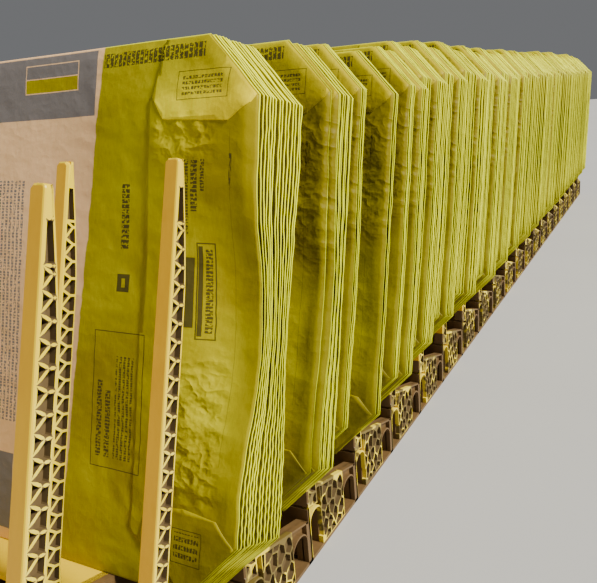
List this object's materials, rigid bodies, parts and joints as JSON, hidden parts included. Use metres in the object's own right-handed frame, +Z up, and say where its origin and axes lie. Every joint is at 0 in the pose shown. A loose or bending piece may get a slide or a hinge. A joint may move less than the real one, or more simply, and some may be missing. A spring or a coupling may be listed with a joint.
{
  "type": "row of paper valve sack bundles in finger carriers",
  "caption": "Long row of empty paper valve sacks in bundles, standing on edge and leaning back in moulded finger carriers, as in a sack magazine.",
  "frame": {"origin": "on the floor under the middle of the row", "axes": "+Z up, +Y along the row from its empty front pocket to its back, +X towards the ends of the sacks whose folded edges show"},
  "size_m": [0.584, 2.8814, 0.5409],
  "materials": {
    "sack_paper": "printed kraft paper, matt with a slight sheen",
    "moulded_plastic": "moulded yellow plastic, dusty"
  },
  "bodies": {
    "root": {"finger_carrier_01": "moulded_plastic", "finger_carrier_02": "moulded_plastic", "finger_carrier_03": "moulded_plastic", "finger_carrier_04": "moulded_plastic", "finger_carrier_05": "moulded_plastic", "finger_carrier_06": "moulded_plastic", "finger_carrier_07": "moulded_plastic", "finger_carrier_08": "moulded_plastic", "finger_carrier_09": "moulded_plastic", "finger_carrier_10": "moulded_plastic", "finger_carrier_11": "moulded_plastic", "finger_carrier_12": "moulded_plastic", "finger_carrier_13": "moulded_plastic", "finger_carrier_14": "moulded_plastic", "finger_carrier_15": "moulded_plastic", "finger_carrier_16": "moulded_plastic", "finger_carrier_17": "moulded_plastic", "finger_carrier_18": "moulded_plastic", "finger_carrier_19": "moulded_plastic", "finger_carrier_20": "moulded_plastic", "finger_carrier_21": "moulded_plastic", "finger_carrier_22": "moulded_plastic", "finger_carrier_23": "moulded_plastic", "sack_bundle_01": "sack_paper", "sack_bundle_02": "sack_paper", "sack_bundle_03": "sack_paper", "sack_bundle_04": "sack_paper", "sack_bundle_05": "sack_paper", "sack_bundle_06": "sack_paper", "sack_bundle_07": "sack_paper", "sack_bundle_08": "sack_paper", "sack_bundle_09": "sack_paper", "sack_bundle_10": "sack_paper", "sack_bundle_11": "sack_paper", "sack_bundle_12": "sack_paper", "sack_bundle_13": "sack_paper", "sack_bundle_14": "sack_paper", "sack_bundle_15": "sack_paper", "sack_bundle_16": "sack_paper", "sack_bundle_17": "sack_paper", "sack_bundle_18": "sack_paper", "sack_bundle_19": "sack_paper", "sack_bundle_20": "sack_paper", "sack_bundle_21": "sack_paper"}
  },
  "joints": []
}
